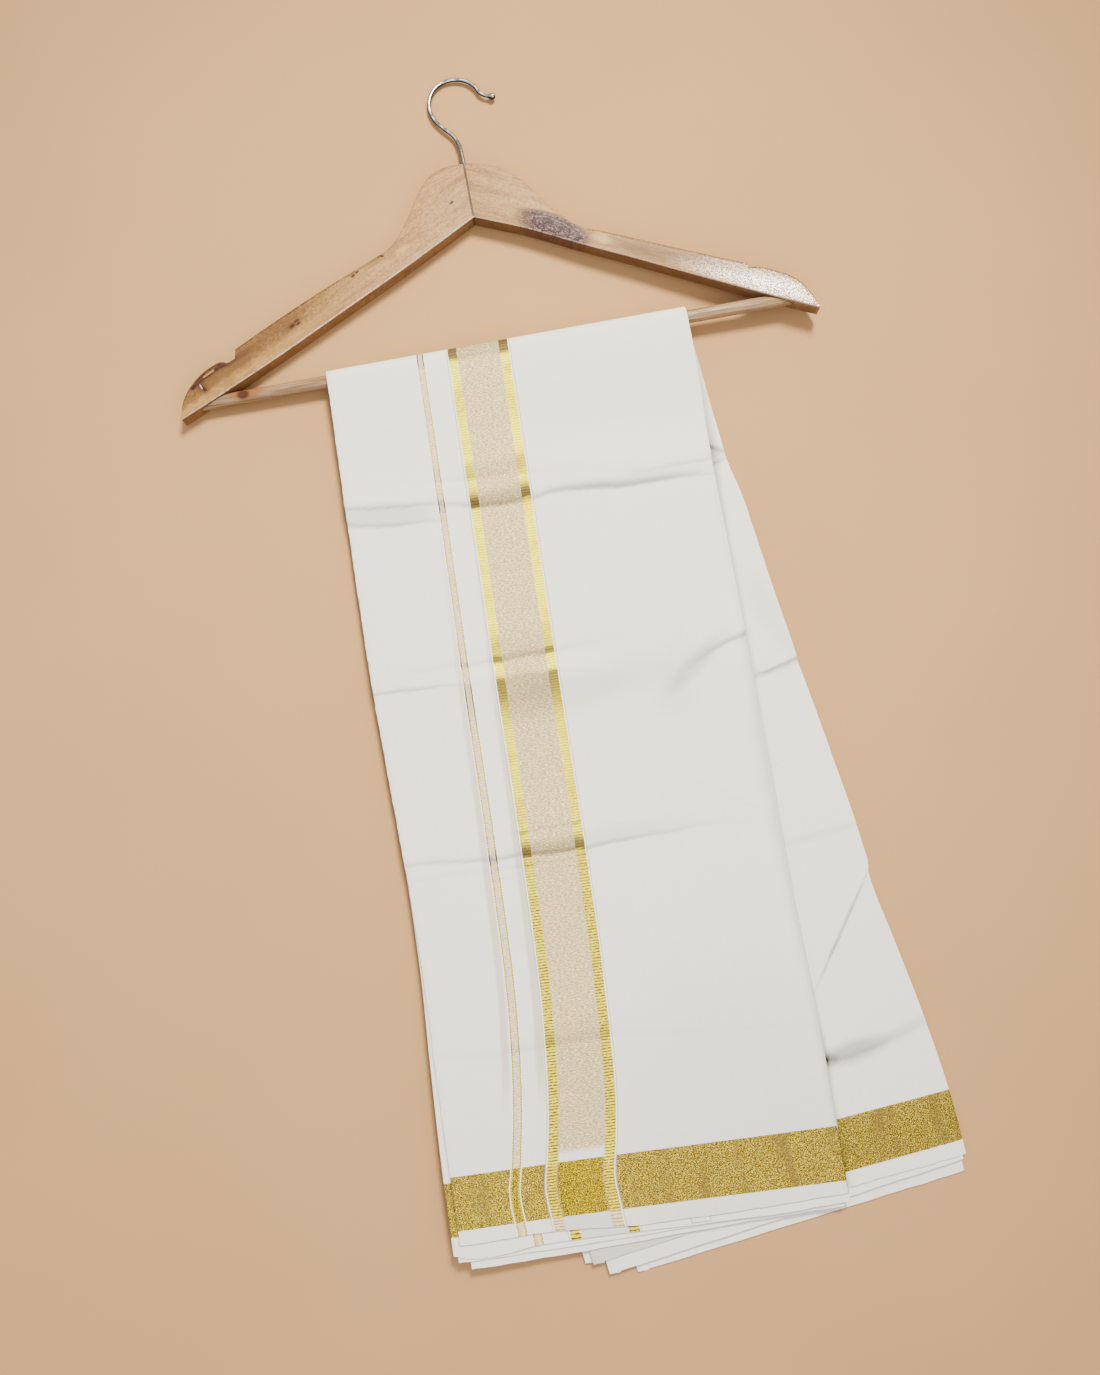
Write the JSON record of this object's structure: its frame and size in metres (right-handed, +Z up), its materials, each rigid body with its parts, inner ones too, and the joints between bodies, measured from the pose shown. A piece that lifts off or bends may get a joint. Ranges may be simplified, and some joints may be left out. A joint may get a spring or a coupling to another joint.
{
  "type": "folded dhoti cloth on a wooden hanger",
  "caption": "White cotton dhoti cloth with gold woven borders, folded lengthwise and hung in half over the bar of a wooden hanger, laid flat on its back.",
  "frame": {"origin": "middle of the whole object's footprint, on the surface it lies on", "axes": "+X along the hanger's bar towards the side on which the back fall shows, +Y from the cloth's hems towards the hanger's hook, +Z up from the surface"},
  "size_m": [0.4486, 0.8318, 0.0199],
  "materials": {
    "cotton": "plain-woven off-white cotton with a soft matt surface",
    "zari": "gold metallic thread woven with cotton, with a fine broken glitter",
    "arm_wood": "knotty tan softwood under clear satin varnish",
    "bar_wood": "pale turned wood, lightly varnished",
    "hook_steel": "polished plated wire"
  },
  "bodies": {
    "root": {"front_field_left": "cotton", "front_gold_band": "zari", "front_field_right": "cotton", "front_border": "zari", "front_hem": "cotton", "front_folds": "cotton", "back_fall": "cotton", "back_border": "zari", "back_hem": "cotton", "back_folds": "cotton", "under_fall": "cotton", "hanger_arm_left": "arm_wood", "hanger_arm_right": "arm_wood", "trouser_bar": "bar_wood", "hanger_hook": "hook_steel"}
  },
  "joints": []
}
